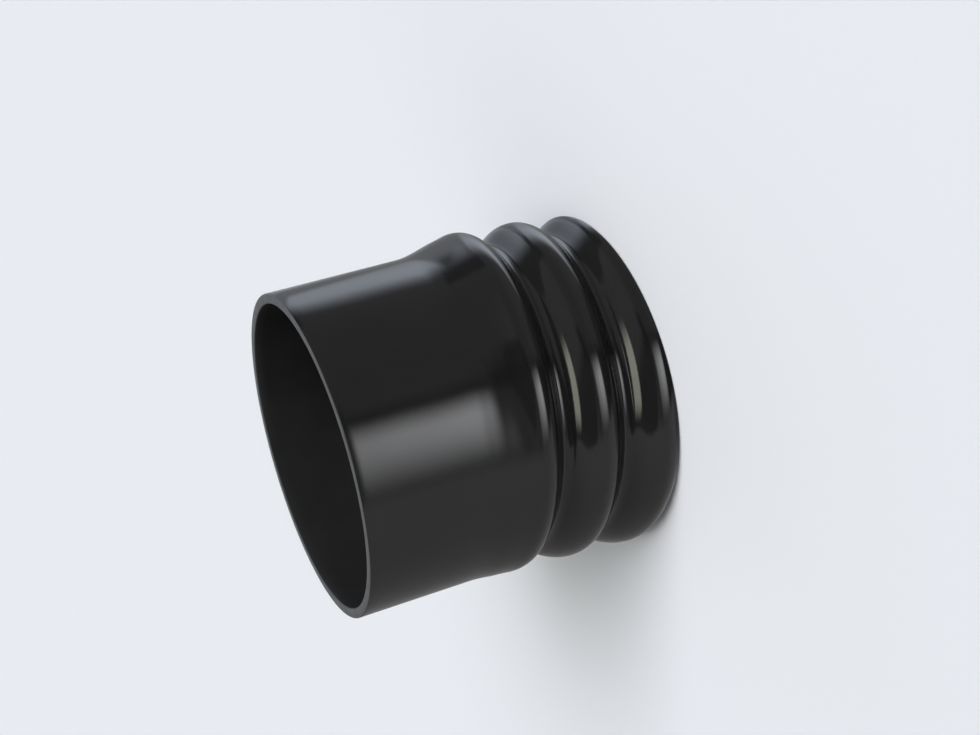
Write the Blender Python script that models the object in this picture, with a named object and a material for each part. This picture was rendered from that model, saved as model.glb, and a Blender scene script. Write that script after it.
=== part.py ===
"""A soft hose cuff for 100 mm ducting, dip-moulded in one piece.

The upper half is a plain sleeve that slides over a pipe. The lower half is a fat
left-hand thread that the hose screws into. The mould is a turned core, so the inside
follows the outside at a constant wall. The cuff stands on its trimmed, threaded end.
"""

import math

import bmesh
import bpy

# Sleeve (metres)
BORE_RADIUS = 0.0500
WALL = 0.0034
LENGTH = 0.1035

# Thread
PITCH = 0.0208
RIDGE_RISE = 0.0030  # a crest above the sleeve
GROOVE_DEPTH = 0.0060  # a root below the crests
ROOT_RADIUS = 0.0027  # the rounded bottom of the groove
FOOT_RADIUS = 0.0430  # the hollow where the first ridge leaves the sleeve
THREAD_TOP = 0.0534  # height of the crest line where the thread starts
START_ANGLE = math.radians(108)  # where round the axis it starts
GROOVE_RUN_IN = 0.07  # turns in which the groove opens
RIDGE_RUN_IN = 0.16  # turns in which the first ridge then rises

# The soft thread has set a little off the sleeve's axis
LEAN = math.radians(3.8)
LEAN_ANGLE = math.radians(165)  # the side that it leans to on its way down
LEAN_PIVOT = 0.0220  # height where both axes meet
LEAN_START = 0.0055  # the lean starts this far above the crest line's start
LEAN_BLEND = 0.0170  # height in which it grows
CREST_TILT = 0.0012  # the crests lie this much higher on that side

# Facets
SIDES = 64
CREST_ROWS = 7
ROOT_ROWS = 5
LEAST_ROW = 0.0004  # no row lies nearer to the end of the thread's zone

SLEEVE_RADIUS = BORE_RADIUS + WALL
# Two crest arcs and the root arc between them touch, half a pitch and a groove apart
ARC_SUM = ((PITCH / 2) ** 2 + GROOVE_DEPTH**2) / (2 * GROOVE_DEPTH)
CREST_RADIUS = ARC_SUM - ROOT_RADIUS
# The first ridge's foot ends this far above its crest line
FOOT_REACH = math.sqrt(
    (CREST_RADIUS + FOOT_RADIUS) ** 2 - (CREST_RADIUS + FOOT_RADIUS - RIDGE_RISE) ** 2
)
SLEEVE_FOOT = THREAD_TOP + FOOT_REACH - PITCH * GROOVE_RUN_IN + CREST_TILT


def ease(value):
    """0 to 1 with a level start and end."""
    value = min(max(value, 0.0), 1.0)
    return value * value * (3 - 2 * value)


def crest_line(turn):
    """Height of the first crest, this many turns from the thread's start."""
    angle = START_ANGLE + math.tau * turn
    return THREAD_TOP - PITCH * turn + CREST_TILT * math.cos(angle - LEAN_ANGLE)


def ridge_rise(turn):
    """Height of the crest above the sleeve, this many turns from the thread's start."""
    return RIDGE_RISE * ease((turn - GROOVE_RUN_IN) / RIDGE_RUN_IN)


def touching_arc(upper, lower, radius):
    """Centre of the hollow arc that touches two crest arcs, as (height, distance from the axis)."""
    drop, step = upper[0] - lower[0], lower[1] - upper[1]
    apart = math.hypot(drop, step)
    out = math.sqrt((CREST_RADIUS + radius) ** 2 - apart**2 / 4)
    return (
        (upper[0] + lower[0]) / 2 + out * step / apart,
        (upper[1] + lower[1]) / 2 + out * drop / apart,
    )


def foot_arc(crest, radius, rise):
    """Centre of the hollow arc that touches the sleeve's wall and a crest arc below it."""
    reach = CREST_RADIUS + radius
    return crest[0] + math.sqrt(reach**2 - (reach - rise) ** 2), SLEEVE_RADIUS + radius


def section(turn):
    """Arcs of the wall's outer line from the top down, as (centre, radius), hollow ones negative.

    turn is how far round from the thread's start the section lies, from 0 to 1.
    """
    opened = ease(turn / GROOVE_RUN_IN)
    first_root = FOOT_RADIUS + (ROOT_RADIUS - FOOT_RADIUS) * opened
    crests = []
    height = crest_line(turn)
    # The sleeve's edge of the groove starts on the second ridge and draws back from it
    crests.append(
        (height - PITCH * (1 - opened), SLEEVE_RADIUS + ridge_rise(turn) - CREST_RADIUS)
    )
    while crests[-1][0] > -PITCH:
        height -= PITCH
        crests.append((height, SLEEVE_RADIUS + RIDGE_RISE - CREST_RADIUS))

    on_sleeve = foot_arc(crests[1], first_root, RIDGE_RISE)
    if on_sleeve[0] > crests[0][0] and opened < 1:
        arcs = [(on_sleeve, -first_root), (crests[1], CREST_RADIUS)]
    else:
        foot = foot_arc(crests[0], FOOT_RADIUS, ridge_rise(turn))
        arcs = [
            (foot, -FOOT_RADIUS),
            (crests[0], CREST_RADIUS),
            (touching_arc(crests[0], crests[1], first_root), -first_root),
            (crests[1], CREST_RADIUS),
        ]
    for upper, lower in zip(crests[1:], crests[2:]):
        arcs.append((touching_arc(upper, lower, ROOT_RADIUS), -ROOT_RADIUS))
        arcs.append((lower, CREST_RADIUS))
    return arcs


def radius_at(arcs, height, inset):
    """Distance from the axis to the skin that lies this far inside the outer one."""
    if height >= arcs[0][0][0]:
        return SLEEVE_RADIUS - inset
    for (centre, radius), (after, after_radius) in zip(arcs, arcs[1:]):
        share = (abs(radius) + (inset if radius < 0 else -inset)) / (
            abs(radius) + abs(after_radius)
        )
        if height >= centre[0] + (after[0] - centre[0]) * share:
            break
    else:
        centre, radius = arcs[-1]
    offset = radius - inset
    return centre[1] + math.copysign(
        math.sqrt(max(offset**2 - (height - centre[0]) ** 2, 0.0)), offset
    )


def row_steps():
    """Depths below a crest of the rows in one pitch, even along each arc."""
    crest_half = math.asin(PITCH / 2 / ARC_SUM)
    crest = [
        CREST_RADIUS * math.sin(crest_half * (2 * i / (CREST_ROWS + 1) - 1))
        for i in range(1, CREST_ROWS + 1)
    ]
    root = [
        PITCH / 2 + ROOT_RADIUS * math.sin(crest_half * (2 * i / (ROOT_ROWS - 1) - 1))
        for i in range(ROOT_ROWS)
    ]
    return [step % PITCH for step in crest + root]


def column_heights(turn):
    """Heights of one column's points, from the trimmed end up, on rows that follow the thread."""
    top = crest_line(turn)
    rows = []
    for step in row_steps():
        height = (top - step) % PITCH
        while height < SLEEVE_FOOT - LEAST_ROW:
            if height > LEAST_ROW:
                rows.append(height)
            height += PITCH
    return [0.0] + sorted(rows) + [SLEEVE_FOOT, LENGTH]


def lean_shift(height):
    """How far the thread's axis lies from the sleeve's at this height."""
    fade = ease((THREAD_TOP + LEAN_START - height) / LEAN_BLEND)
    return math.tan(LEAN) * (LEAN_PIVOT - height) * fade


def skin_column(bm, turn, inset):
    """Vertices of one column of a skin, from the trimmed end up."""
    angle = START_ANGLE + math.tau * turn
    arcs = section(turn)
    column = []
    for height in column_heights(turn):
        radius = radius_at(arcs, height, inset)
        shift = lean_shift(height)
        column.append(
            bm.verts.new(
                (
                    radius * math.cos(angle) + shift * math.cos(LEAN_ANGLE),
                    radius * math.sin(angle) + shift * math.sin(LEAN_ANGLE),
                    height,
                )
            )
        )
    return column


def zip_columns(bm, left, right, inward):
    """Closes the strip between two neighbouring columns, by its shorter diagonals."""
    i = j = 0
    while i + 1 < len(left) or j + 1 < len(right):
        raise_left = j + 1 == len(right) or (
            i + 1 < len(left)
            and abs(left[i + 1].co.z - right[j].co.z)
            <= abs(left[i].co.z - right[j + 1].co.z)
        )
        if raise_left:
            face = [left[i], right[j], left[i + 1]]
            i += 1
        else:
            face = [left[i], right[j], right[j + 1]]
            j += 1
        bm.faces.new(face[::-1] if inward else face)


def make_cuff(material):
    """The whole cuff: an outer skin, an inner one, and the two trimmed ends between them."""
    bm = bmesh.new()
    turns = [side / SIDES for side in range(SIDES)]
    outer = [skin_column(bm, turn, 0.0) for turn in turns]
    inner = [skin_column(bm, turn, WALL) for turn in turns]
    for side in range(SIDES):
        after = (side + 1) % SIDES
        zip_columns(bm, outer[side], outer[after], inward=False)
        zip_columns(bm, inner[side], inner[after], inward=True)
        for end, turned in ((0, False), (-1, True)):
            ring = [inner[side][end], inner[after][end], outer[after][end], outer[side][end]]
            bm.faces.new(ring[::-1] if turned else ring)
    bm.normal_update()
    mesh = bpy.data.meshes.new("hose_cuff")
    bm.to_mesh(mesh)
    bm.free()
    mesh.shade_smooth()
    mesh.set_sharp_from_angle(angle=math.radians(50))
    mesh.materials.append(material)
    cuff = bpy.data.objects.new("hose_cuff", mesh)
    bpy.context.scene.collection.objects.link(cuff)
    return cuff


def black_vinyl():
    """Glossy soft PVC, as it comes off the mould."""
    material = bpy.data.materials.new("black_vinyl")
    material.use_nodes = True
    shader = material.node_tree.nodes["Principled BSDF"]
    shader.inputs["Base Color"].default_value = (0.012, 0.012, 0.013, 1.0)
    shader.inputs["Roughness"].default_value = 0.2
    shader.inputs["Metallic"].default_value = 0.0
    return material


def main():
    for thing in list(bpy.data.objects):
        bpy.data.objects.remove(thing, do_unlink=True)
    make_cuff(black_vinyl())


if __name__ == "__main__":
    main()
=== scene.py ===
"""Looks of the soft black hose cuff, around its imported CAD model.

The cuff's skin is made again from the part's own sizes, with a finer mesh and softened
cut edges. The room that the glossy vinyl mirrors is in the world: two windows, one of
them with a bar, a warm lamp, a pale table, and a dark wall with a ledge.
"""

import math

import bmesh
import bpy
from mathutils import Matrix, Vector


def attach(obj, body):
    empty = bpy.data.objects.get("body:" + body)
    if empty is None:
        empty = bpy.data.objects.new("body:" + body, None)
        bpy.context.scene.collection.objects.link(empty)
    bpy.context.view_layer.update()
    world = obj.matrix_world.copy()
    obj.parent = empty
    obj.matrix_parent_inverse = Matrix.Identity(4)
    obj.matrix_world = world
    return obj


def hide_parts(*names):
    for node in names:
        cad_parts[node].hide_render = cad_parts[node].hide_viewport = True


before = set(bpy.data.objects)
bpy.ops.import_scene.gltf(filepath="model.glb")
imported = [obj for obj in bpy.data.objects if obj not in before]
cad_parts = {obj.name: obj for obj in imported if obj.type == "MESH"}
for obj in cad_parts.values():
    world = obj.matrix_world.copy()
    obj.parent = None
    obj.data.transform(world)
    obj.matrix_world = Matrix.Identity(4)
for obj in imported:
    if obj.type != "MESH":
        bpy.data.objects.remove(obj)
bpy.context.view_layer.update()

# The part's sizes (metres)
BORE_RADIUS = 0.0500
WALL = 0.0034
LENGTH = 0.1035
PITCH = 0.0208
RIDGE_RISE = 0.0030
GROOVE_DEPTH = 0.0060
ROOT_RADIUS = 0.0027
FOOT_RADIUS = 0.0430
THREAD_TOP = 0.0534
START_ANGLE = math.radians(108)
GROOVE_RUN_IN = 0.07
RIDGE_RUN_IN = 0.16
LEAN = math.radians(3.8)
LEAN_ANGLE = math.radians(165)
LEAN_PIVOT = 0.0220
LEAN_START = 0.0055
LEAN_BLEND = 0.0170
CREST_TILT = 0.0012

SLEEVE_RADIUS = BORE_RADIUS + WALL

# The skin's own profile, with a straight flank between each crest arc and root arc
FLANK_SLOPE = math.radians(50)
FLANK = GROOVE_DEPTH / math.tan(FLANK_SLOPE / 2) - PITCH / 2
ARC_SUM = (PITCH / 2 - FLANK * math.cos(FLANK_SLOPE)) / math.sin(FLANK_SLOPE)
ARC_GAP = math.hypot(PITCH / 2, ARC_SUM - GROOVE_DEPTH) - ARC_SUM
CREST_RADIUS = ARC_SUM - ROOT_RADIUS
CREST_SKEW = 0.0008  # the crests lie this much lower than on the even arcs
FIRST_SKEW = 0.0010  # and the first one up to this much more
FIRST_SKEW_ANGLE = math.radians(-105)  # the side on which it does most
# The first ridge's foot ends this far above its crest line
FOOT_REACH = math.sqrt(
    (CREST_RADIUS + FOOT_RADIUS) ** 2 - (CREST_RADIUS + FOOT_RADIUS - RIDGE_RISE) ** 2
)
SLEEVE_FOOT = THREAD_TOP + FOOT_REACH - PITCH * GROOVE_RUN_IN + CREST_TILT

# The fine mesh
SIDES = 256
CREST_ROWS = 21
ROOT_ROWS = 9
FLANK_ROWS = 4
SLEEVE_ROWS = 10
LEAST_ROW = 0.0002
CUT_ROUND = 0.00035  # the knife's edge, rubbed a little round
CUT_STEPS = 3
SKIN_INSET = 0.00008  # keeps the rounder skin inside the faceted one's box
SKIN_SLOT, CUT_SLOT, CORE_SLOT = range(3)

# The stage
BACKDROP = (0.81, 0.833, 0.872)  # as the lit floor looks
FLOOR = (0.84, 0.855, 0.90)
FLOOR_REACH = 100.0
FLOOR_DROP = 0.0002  # it lies this far under the cuff
SUN_TOWARD = (0.24, -0.73, 0.64)
SUN_STRENGTH = 2.42
SUN_SPREAD = math.radians(45)
SUN_COLOUR = (0.98, 0.98, 1.04)

# The camera, fitted to the outlines in the photo
CAMERA_PLACE = (-0.12913, -0.48191, 0.21775)
CAMERA_AIM = (0.00942, -0.00807, 0.03775)
CAMERA_ROLL = math.radians(-105.96)
CAMERA_LENS = 58.8
SENSOR_WIDTH = 36.0


# --- The cuff ---------------------------------------------------------------------------


def ease(value):
    """0 to 1 with a level start and end."""
    value = min(max(value, 0.0), 1.0)
    return value * value * (3 - 2 * value)


def crest_line(turn):
    """Height of the first crest, this many turns from the thread's start."""
    angle = START_ANGLE + math.tau * turn
    return THREAD_TOP - PITCH * turn + CREST_TILT * math.cos(angle - LEAN_ANGLE)


def ridge_rise(turn):
    """Height of the crest above the sleeve, this many turns from the thread's start."""
    return RIDGE_RISE * ease((turn - GROOVE_RUN_IN) / RIDGE_RUN_IN)


def hollow_between(upper, lower, radius, gap):
    """Centre of the hollow arc that keeps this gap to two crest arcs.

    Every point of the profile is given as (height, distance from the axis).
    """
    drop, step = upper[0] - lower[0], lower[1] - upper[1]
    apart = math.hypot(drop, step)
    out = math.sqrt((CREST_RADIUS + radius + gap) ** 2 - apart**2 / 4)
    return (
        (upper[0] + lower[0]) / 2 + out * step / apart,
        (upper[1] + lower[1]) / 2 + out * drop / apart,
    )


def foot_arc(crest, radius, rise):
    """Centre of the hollow arc that touches the sleeve's wall and a crest arc below it."""
    reach = CREST_RADIUS + radius
    return crest[0] + math.sqrt(reach**2 - (reach - rise) ** 2), SLEEVE_RADIUS + radius


def section(turn):
    """Arcs of the wall's outer line from the top down, as (centre, radius).

    Hollow arcs have a negative radius. turn is how far round from the thread's start the
    section lies, from 0 to 1.
    """
    opened = ease(turn / GROOVE_RUN_IN)
    first_root = FOOT_RADIUS + (ROOT_RADIUS - FOOT_RADIUS) * opened
    height = crest_line(turn)
    # The sleeve's edge of the groove starts on the second ridge and draws back from it
    crests = [
        (height - PITCH * (1 - opened), SLEEVE_RADIUS + ridge_rise(turn) - CREST_RADIUS)
    ]
    while crests[-1][0] > -PITCH:
        height -= PITCH
        crests.append((height, SLEEVE_RADIUS + RIDGE_RISE - CREST_RADIUS))

    on_sleeve = foot_arc(crests[1], first_root, RIDGE_RISE)
    if on_sleeve[0] > crests[0][0] and opened < 1:
        arcs = [(on_sleeve, -first_root), (crests[1], CREST_RADIUS)]
    else:
        foot = foot_arc(crests[0], FOOT_RADIUS, ridge_rise(turn))
        groove = hollow_between(crests[0], crests[1], first_root, ARC_GAP * opened)
        arcs = [
            (foot, -FOOT_RADIUS),
            (crests[0], CREST_RADIUS),
            (groove, -first_root),
            (crests[1], CREST_RADIUS),
        ]
    for upper, lower in zip(crests[1:], crests[2:]):
        arcs.append((hollow_between(upper, lower, ROOT_RADIUS, ARC_GAP), -ROOT_RADIUS))
        arcs.append((lower, CREST_RADIUS))
    return arcs


def flank(centre, radius, after, after_radius):
    """Ends of the straight flank that touches one arc and, below it, the next."""
    down, out = after[0] - centre[0], after[1] - centre[1]
    apart = math.hypot(down, out)
    along = min(max((radius - after_radius) / apart, -1.0), 1.0)
    across = math.sqrt(1 - along**2)
    normal = (along * down + across * out) / apart, (along * out - across * down) / apart
    return (
        (centre[0] + radius * normal[0], centre[1] + radius * normal[1]),
        (after[0] + after_radius * normal[0], after[1] + after_radius * normal[1]),
    )


def radius_at(arcs, height, inset):
    """Distance from the axis to the skin that lies this far inside the outer one."""
    if height >= arcs[0][0][0]:
        return SLEEVE_RADIUS - inset
    for (centre, radius), (after, after_radius) in zip(arcs, arcs[1:]):
        top, foot = flank(centre, radius - inset, after, after_radius - inset)
        if height >= top[0]:
            break
        if height > foot[0]:
            return foot[1] + (top[1] - foot[1]) * (height - foot[0]) / (top[0] - foot[0])
    else:
        centre, radius = arcs[-1]
    offset = radius - inset
    return centre[1] + math.copysign(
        math.sqrt(max(offset**2 - (height - centre[0]) ** 2, 0.0)), offset
    )


def even_height(turn, height):
    """Height on the even arcs of the point that lies at this height on the skewed skin."""
    above = (height - crest_line(turn)) / PITCH
    if above > 0.5:
        return height
    # From -1 to 1 across the nearest ridge, with its crest at 0
    beside = 2 * (above - round(above))
    skew = CREST_SKEW
    if above > -0.5:
        facing = math.cos(START_ANGLE + math.tau * turn - FIRST_SKEW_ANGLE)
        skew += FIRST_SKEW * ((1 + facing) / 2) ** 2
    return height + skew * (1 - beside**2) ** 2


def row_steps():
    """Depths below a crest of the rows in one pitch, even along each arc and flank."""
    arc = math.sin(FLANK_SLOPE)
    crest = [
        CREST_RADIUS * math.sin(FLANK_SLOPE * (2 * i / (CREST_ROWS - 1) - 1))
        for i in range(CREST_ROWS)
    ]
    root = [
        PITCH / 2 + ROOT_RADIUS * math.sin(FLANK_SLOPE * (2 * i / (ROOT_ROWS - 1) - 1))
        for i in range(ROOT_ROWS)
    ]
    straight = FLANK * math.cos(FLANK_SLOPE)
    flanks = [
        side * (CREST_RADIUS * arc + straight * i / (FLANK_ROWS + 1))
        for side in (-1, 1)
        for i in range(1, FLANK_ROWS + 1)
    ]
    return [step % PITCH for step in crest + root + flanks]


def column_heights(turn):
    """Heights of one column's points from the threaded end up, between the cut edges."""
    top = crest_line(turn)
    rows = []
    for step in row_steps():
        height = (top - step) % PITCH
        while height < SLEEVE_FOOT - LEAST_ROW:
            if height > CUT_ROUND + LEAST_ROW:
                rows.append(height)
            height += PITCH
    straight = LENGTH - CUT_ROUND - SLEEVE_FOOT
    sleeve = [SLEEVE_FOOT + straight * i / SLEEVE_ROWS for i in range(SLEEVE_ROWS)]
    return [CUT_ROUND] + sorted(rows) + sleeve + [LENGTH - CUT_ROUND]


def lean_shift(height):
    """How far the thread's axis lies from the sleeve's at this height."""
    fade = ease((THREAD_TOP + LEAN_START - height) / LEAN_BLEND)
    return math.tan(LEAN) * (LEAN_PIVOT - height) * fade


def skin_column(bm, turn, inset, inward):
    """Vertices of one column of a skin from the threaded end up, with rounded cut edges.

    inward is 1 where the edges round over towards the axis, and -1 where away from it.
    """
    angle = START_ANGLE + math.tau * turn
    arcs = section(turn)
    points = [
        (height, radius_at(arcs, even_height(turn, height), inset))
        for height in column_heights(turn)
    ]
    low, high = points[0][1], points[-1][1]
    for step in range(1, CUT_STEPS + 1):
        bend = math.pi / 2 * step / CUT_STEPS
        along = CUT_ROUND * math.sin(bend)
        across = inward * CUT_ROUND * (1 - math.cos(bend))
        points.insert(0, (CUT_ROUND - along, low - across))
        points.append((LENGTH - CUT_ROUND + along, high - across))
    column = []
    for height, radius in points:
        shift = lean_shift(height)
        column.append(
            bm.verts.new(
                (
                    radius * math.cos(angle) + shift * math.cos(LEAN_ANGLE),
                    radius * math.sin(angle) + shift * math.sin(LEAN_ANGLE),
                    height,
                )
            )
        )
    return column


def zip_columns(bm, left, right, flipped, slot):
    """Closes the strip between two neighbouring columns, by its shorter diagonals."""
    i = j = 0
    while i + 1 < len(left) or j + 1 < len(right):
        raise_left = j + 1 == len(right) or (
            i + 1 < len(left)
            and abs(left[i + 1].co.z - right[j].co.z)
            <= abs(left[i].co.z - right[j + 1].co.z)
        )
        if raise_left:
            face = [left[i], right[j], left[i + 1]]
            i += 1
        else:
            face = [left[i], right[j], right[j + 1]]
            j += 1
        bm.faces.new(face[::-1] if flipped else face).material_index = slot


def make_cuff(skin, cut, core):
    """The cuff, with the materials of its outside, its cut ends and its inside."""
    bm = bmesh.new()
    turns = [side / SIDES for side in range(SIDES)]
    outer = [skin_column(bm, turn, SKIN_INSET, 1) for turn in turns]
    inner = [skin_column(bm, turn, WALL, -1) for turn in turns]
    for side in range(SIDES):
        after = (side + 1) % SIDES
        zip_columns(bm, outer[side], outer[after], False, SKIN_SLOT)
        zip_columns(bm, inner[side], inner[after], True, CORE_SLOT)
        for end, flipped in ((0, False), (-1, True)):
            ring = [
                inner[side][end],
                inner[after][end],
                outer[after][end],
                outer[side][end],
            ]
            bm.faces.new(ring[::-1] if flipped else ring).material_index = CUT_SLOT
    mesh = bpy.data.meshes.new("cuff_skin")
    bm.to_mesh(mesh)
    bm.free()
    mesh.shade_smooth()
    for material in (skin, cut, core):
        mesh.materials.append(material)
    piece = bpy.data.objects.new("cuff_skin", mesh)
    bpy.context.scene.collection.objects.link(piece)
    return piece


# --- Materials --------------------------------------------------------------------------


class Nodes:
    """Short calls for building a node tree."""

    def __init__(self, tree):
        self.tree = tree

    def add(self, kind, **settings):
        node = self.tree.nodes.new(kind)
        for name, value in settings.items():
            setattr(node, name, value)
        return node

    def put(self, socket, value):
        if isinstance(value, bpy.types.NodeSocket):
            self.tree.links.new(value, socket)
        else:
            socket.default_value = value

    def math(self, operation, *values):
        node = self.add("ShaderNodeMath", operation=operation)
        for socket, value in zip(node.inputs, values):
            self.put(socket, value)
        return node.outputs[0]

    def dot(self, vector, axis):
        node = self.add("ShaderNodeVectorMath", operation="DOT_PRODUCT")
        self.put(node.inputs[0], vector)
        self.put(node.inputs[1], axis)
        return node.outputs["Value"]

    def ramp(self, value, low, high, start=0.0, end=1.0):
        """start to end as value goes from low to high, with level ends."""
        node = self.add("ShaderNodeMapRange", interpolation_type="SMOOTHSTEP")
        for socket, given in zip(node.inputs, (value, low, high, start, end)):
            self.put(socket, given)
        return node.outputs["Result"]

    def noise(self, vector, scale, detail, roughness=0.5):
        node = self.add("ShaderNodeTexNoise")
        self.put(node.inputs["Vector"], vector)
        self.put(node.inputs["Scale"], scale)
        self.put(node.inputs["Detail"], detail)
        self.put(node.inputs["Roughness"], roughness)
        return node.outputs["Fac"]

    def mix(self, factor, low, high):
        node = self.add("ShaderNodeMix", data_type="FLOAT")
        for name, value in (("Factor", factor), ("A", low), ("B", high)):
            self.put(node.inputs[name], value)
        return node.outputs["Result"]

    def scale(self, vector, by):
        node = self.add("ShaderNodeVectorMath", operation="SCALE")
        self.put(node.inputs[0], vector)
        self.put(node.inputs["Scale"], by)
        return node.outputs["Vector"]

    def sum(self, first, second):
        node = self.add("ShaderNodeVectorMath", operation="ADD")
        self.put(node.inputs[0], first)
        self.put(node.inputs[1], second)
        return node.outputs["Vector"]

    def bump(self, height, distance, strength, under=None):
        node = self.add("ShaderNodeBump")
        self.put(node.inputs["Height"], height)
        self.put(node.inputs["Distance"], distance)
        self.put(node.inputs["Strength"], strength)
        if under is not None:
            self.put(node.inputs["Normal"], under)
        return node.outputs["Normal"]

    def colour(self, value, low, high):
        node = self.add("ShaderNodeMix", data_type="RGBA")
        self.put(node.inputs["Factor"], value)
        self.put(node.inputs["A"], low)
        self.put(node.inputs["B"], high)
        return node.outputs["Result"]


def new_material(name):
    material = bpy.data.materials.new(name)
    material.use_nodes = True
    return material, material.node_tree.nodes["Principled BSDF"], Nodes(material.node_tree)


def new_vinyl(name):
    """A new PVC material, with its nodes and the place on the cuff that they work from."""
    material, shader, nodes = new_material(name)
    nodes.put(shader.inputs["IOR"], 1.5)
    return material, shader, nodes, nodes.add("ShaderNodeTexCoord").outputs["Object"]


def black_vinyl():
    """Dip-moulded and glossy: a skin that flows a little, with faint handling marks."""
    material, shader, nodes, place = new_vinyl("black_vinyl")
    flow = nodes.noise(place, scale=34.0, detail=1.0)
    grain = nodes.noise(place, scale=900.0, detail=2.0)
    smear = nodes.noise(place, scale=55.0, detail=4.0, roughness=0.6)
    nodes.put(
        shader.inputs["Base Color"],
        nodes.colour(smear, (0.007, 0.007, 0.0072, 1.0), (0.010, 0.010, 0.0102, 1.0)),
    )
    nodes.put(shader.inputs["Roughness"], nodes.ramp(smear, 0.3, 0.75, 0.06, 0.10))
    waves = nodes.bump(flow, distance=0.0004, strength=0.5)
    bumps = nodes.bump(grain, distance=0.000008, strength=0.4, under=waves)
    nodes.put(shader.inputs["Normal"], bumps)
    return material


def cut_vinyl():
    """The knife's face: paler and duller, with fine drag marks."""
    material, shader, nodes, place = new_vinyl("cut_vinyl")
    drag = nodes.noise(place, scale=260.0, detail=4.0, roughness=0.6)
    nodes.put(
        shader.inputs["Base Color"],
        nodes.colour(drag, (0.033, 0.034, 0.035, 1.0), (0.066, 0.067, 0.068, 1.0)),
    )
    nodes.put(shader.inputs["Roughness"], nodes.ramp(drag, 0.3, 0.7, 0.38, 0.50))
    nodes.put(shader.inputs["Normal"], nodes.bump(drag, distance=0.00006, strength=0.5))
    return material


def core_vinyl():
    """The inside, satin as the mould's core left it."""
    material, shader, nodes, place = new_vinyl("core_vinyl")
    grain = nodes.noise(place, scale=1200.0, detail=2.0)
    cloud = nodes.noise(place, scale=40.0, detail=3.0, roughness=0.6)
    nodes.put(
        shader.inputs["Base Color"],
        nodes.colour(cloud, (0.013, 0.013, 0.0135, 1.0), (0.022, 0.022, 0.0225, 1.0)),
    )
    nodes.put(shader.inputs["Roughness"], nodes.ramp(cloud, 0.3, 0.7, 0.36, 0.46))
    nodes.put(shader.inputs["Normal"], nodes.bump(grain, distance=0.00002, strength=0.4))
    return material


def pale_floor():
    """A plain matt sheet."""
    material, shader, nodes = new_material("pale_floor")
    nodes.put(shader.inputs["Base Color"], (*FLOOR, 1.0))
    nodes.put(shader.inputs["Roughness"], 0.7)
    nodes.put(shader.inputs["Specular IOR Level"], 0.0)
    return material


# --- Stage ------------------------------------------------------------------------------


def box_of(nodes, turn, tilt, turn_edges, tilt_edges):
    """1 inside a box of directions and 0 outside. Each pair of degrees is one soft edge."""
    inside = 1.0
    for value, (rise, fall) in ((turn, turn_edges), (tilt, tilt_edges)):
        for low, high, start in ((*rise, 0.0), (*fall, 1.0)):
            edge = nodes.ramp(value, low, high, start, 1.0 - start)
            inside = nodes.math("MULTIPLY", inside, edge)
    return inside


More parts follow.
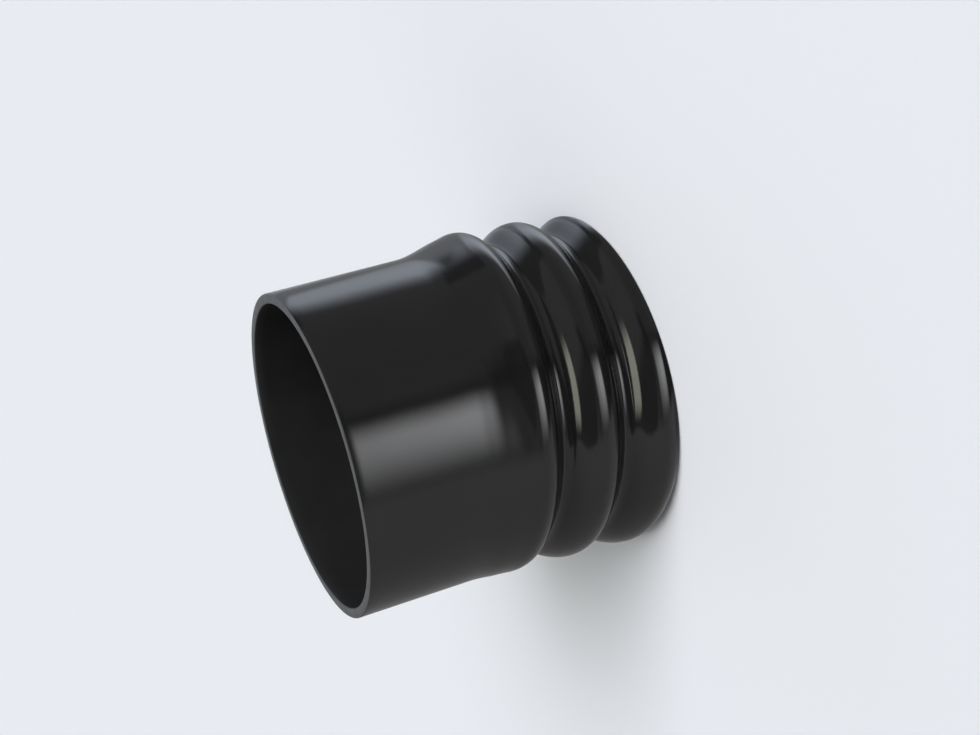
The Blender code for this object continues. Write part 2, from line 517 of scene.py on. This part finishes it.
def build_world():
    """The room that the vinyl mirrors. The camera sees the plain backdrop colour instead.

    A direction is given as turn, degrees round the cuff from its -Y side towards +X, and
    tilt, degrees up from level towards the open sleeve.
    """
    world = bpy.data.worlds.new("room")
    world.use_nodes = True
    tree = world.node_tree
    tree.nodes.clear()
    nodes = Nodes(tree)
    way = nodes.add("ShaderNodeTexCoord").outputs["Generated"]
    aside = nodes.dot(way, (1.0, 0.0, 0.0))
    ahead = nodes.dot(way, (0.0, -1.0, 0.0))
    above = nodes.dot(way, (0.0, 0.0, 1.0))
    turn = nodes.math("DEGREES", nodes.math("ARCTAN2", aside, ahead))
    tilt = nodes.math("DEGREES", nodes.math("ARCSINE", above))

    # Walls and ceiling on one side, the pale table on the other
    walls = nodes.math(
        "ADD",
        nodes.ramp(tilt, 2.0, 14.0, 0.21, 0.32),
        nodes.ramp(tilt, -30.0, -16.0, 0.06, 0.0),
    )
    table = nodes.math(
        "ADD",
        nodes.ramp(turn, -165.0, -60.0, 0.27, 0.54),
        nodes.ramp(tilt, -40.0, -20.0, 0.10, 0.0),
    )
    level = nodes.mix(nodes.ramp(turn, -62.0, -48.0), table, walls)

    # What is darker in it. Some edges run aslant.
    side = nodes.math("MULTIPLY_ADD", tilt, 0.33, turn)
    foot = nodes.math("MULTIPLY_ADD", turn, 0.3, tilt)
    shelf = nodes.math("MULTIPLY_ADD", turn, -0.15, tilt)
    for depth, across, up, across_edges, up_edges in (
        # The dark side wall beyond the front window
        (0.80, side, foot, ((-56, -49), (-2, 18)), ((-6, 1), (88, 95))),
        # The front window's frame and sill
        (0.55, turn, tilt, ((-10, -4), (-2, 8)), ((-90, -85), (15, 30))),
        (0.80, turn, tilt, ((-56, -46), (-8, 6)), ((-90, -85), (-44, -37))),
        # A ledge on the wall
        (0.88, turn, shelf, ((-8, 0), (14, 24)), ((-1, 3), (10, 15))),
        # The back window's frame
        (0.72, turn, tilt, ((74, 80), (120, 150)), ((-8, -4), (80, 88))),
    ):
        shade = box_of(nodes, across, up, across_edges, up_edges)
        left = nodes.math("MULTIPLY_ADD", shade, -depth, 1.0)
        level = nodes.math("MULTIPLY", level, left)
    level = nodes.math("MULTIPLY", level, nodes.ramp(tilt, -66.0, -54.0, 0.3, 1.0))
    total = nodes.scale((1.0, 1.0, 1.0), level)

    # The front window: the broad patch on the sleeve and the ridges' highlights
    pane = box_of(nodes, turn, tilt, ((-59, -19), (-20, -1)), ((-41, -33), (-11, -1)))
    glow = nodes.ramp(tilt, -22.0, -13.0, 4.5, 3.0)
    light = nodes.math("MULTIPLY", pane, glow)
    total = nodes.sum(total, nodes.scale((0.99, 1.0, 1.02), light))

    # The back window: the bluish band along the top, crossed by one bar. Both run aslant.
    rise = nodes.math("MULTIPLY_ADD", turn, -0.7, nodes.math("ADD", tilt, 73.0))
    cross = nodes.math("MULTIPLY_ADD", turn, 0.4, nodes.math("ADD", tilt, -39.0))
    glow = nodes.math(
        "MULTIPLY_ADD",
        nodes.ramp(turn, 100.0, 138.0, 1.0, 0.0),
        nodes.ramp(tilt, -40.0, 5.0, 1.5, 0.95),
        0.28,
    )
    pane = box_of(nodes, turn, rise, ((86, 108), (170, 180)), ((-62, -42), (11, 33)))
    bar = box_of(nodes, turn, cross, ((80, 84), (150, 165)), ((-6, -2), (2, 6)))
    bar = nodes.math("MULTIPLY", bar, nodes.ramp(turn, 97.0, 112.0, 0.9, 0.6))
    pane = nodes.math("MULTIPLY", pane, nodes.math("SUBTRACT", 1.0, bar))
    light = nodes.math("MULTIPLY", pane, glow)
    total = nodes.sum(total, nodes.scale((0.90, 0.99, 1.14), light))

    # The warm lamp beyond the sleeve's mouth: the cream streaks on the ridges' near flanks
    over = nodes.math("MULTIPLY_ADD", turn, 0.06, tilt)
    lamp = box_of(nodes, turn, over, ((-72, -38), (15, 50)), ((58.5, 61.5), (76, 82)))
    light = nodes.math("MULTIPLY", lamp, 3.8)
    total = nodes.sum(total, nodes.scale((0.97, 1.0, 0.82), light))

    seen = nodes.add("ShaderNodeLightPath").outputs["Is Camera Ray"]
    background = nodes.add("ShaderNodeBackground")
    nodes.put(background.inputs["Color"], nodes.colour(seen, total, (*BACKDROP, 1.0)))
    nodes.put(background.inputs["Strength"], 1.0)
    output = nodes.add("ShaderNodeOutputWorld")
    tree.links.new(background.outputs[0], output.inputs["Surface"])
    bpy.context.scene.world = world


def add_soft_sun():
    """Soft light from one side, which the vinyl doesn't mirror."""
    light = bpy.data.lights.new("soft_sun", "SUN")
    light.energy = SUN_STRENGTH
    light.color = SUN_COLOUR
    light.angle = SUN_SPREAD
    sun = bpy.data.objects.new("soft_sun", light)
    sun.rotation_euler = (-Vector(SUN_TOWARD)).to_track_quat("-Z", "Y").to_euler()
    sun.visible_glossy = False
    bpy.context.scene.collection.objects.link(sun)


def add_floor(material):
    """The pale floor under the cuff.

    The vinyl doesn't mirror it, because the cuff in the photo lies on its side and
    mirrors the room instead.
    """
    bm = bmesh.new()
    bmesh.ops.create_grid(bm, x_segments=1, y_segments=1, size=FLOOR_REACH)
    mesh = bpy.data.meshes.new("floor")
    bm.to_mesh(mesh)
    bm.free()
    mesh.materials.append(material)
    floor = bpy.data.objects.new("floor", mesh)
    floor.location = (0.0, 0.0, -FLOOR_DROP)
    floor.visible_glossy = False
    bpy.context.scene.collection.objects.link(floor)


def add_camera():
    """The photo's camera. Its roll shows the upright cuff lying, as in the photo."""
    camera = bpy.data.cameras.new("camera")
    camera.lens = CAMERA_LENS
    camera.sensor_width = SENSOR_WIDTH
    viewer = bpy.data.objects.new("camera", camera)
    place = Vector(CAMERA_PLACE)
    look = (Vector(CAMERA_AIM) - place).to_track_quat("-Z", "Y").to_matrix()
    roll = Matrix.Rotation(CAMERA_ROLL, 4, "Z")
    viewer.matrix_world = Matrix.Translation(place) @ look.to_4x4() @ roll
    bpy.context.scene.collection.objects.link(viewer)
    bpy.context.scene.camera = viewer


# --- The scene --------------------------------------------------------------------------

cuff = make_cuff(black_vinyl(), cut_vinyl(), core_vinyl())
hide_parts("hose_cuff")
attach(cuff, "root")

add_floor(pale_floor())
build_world()
add_soft_sun()
add_camera()

bpy.context.scene.view_settings.view_transform = "Standard"
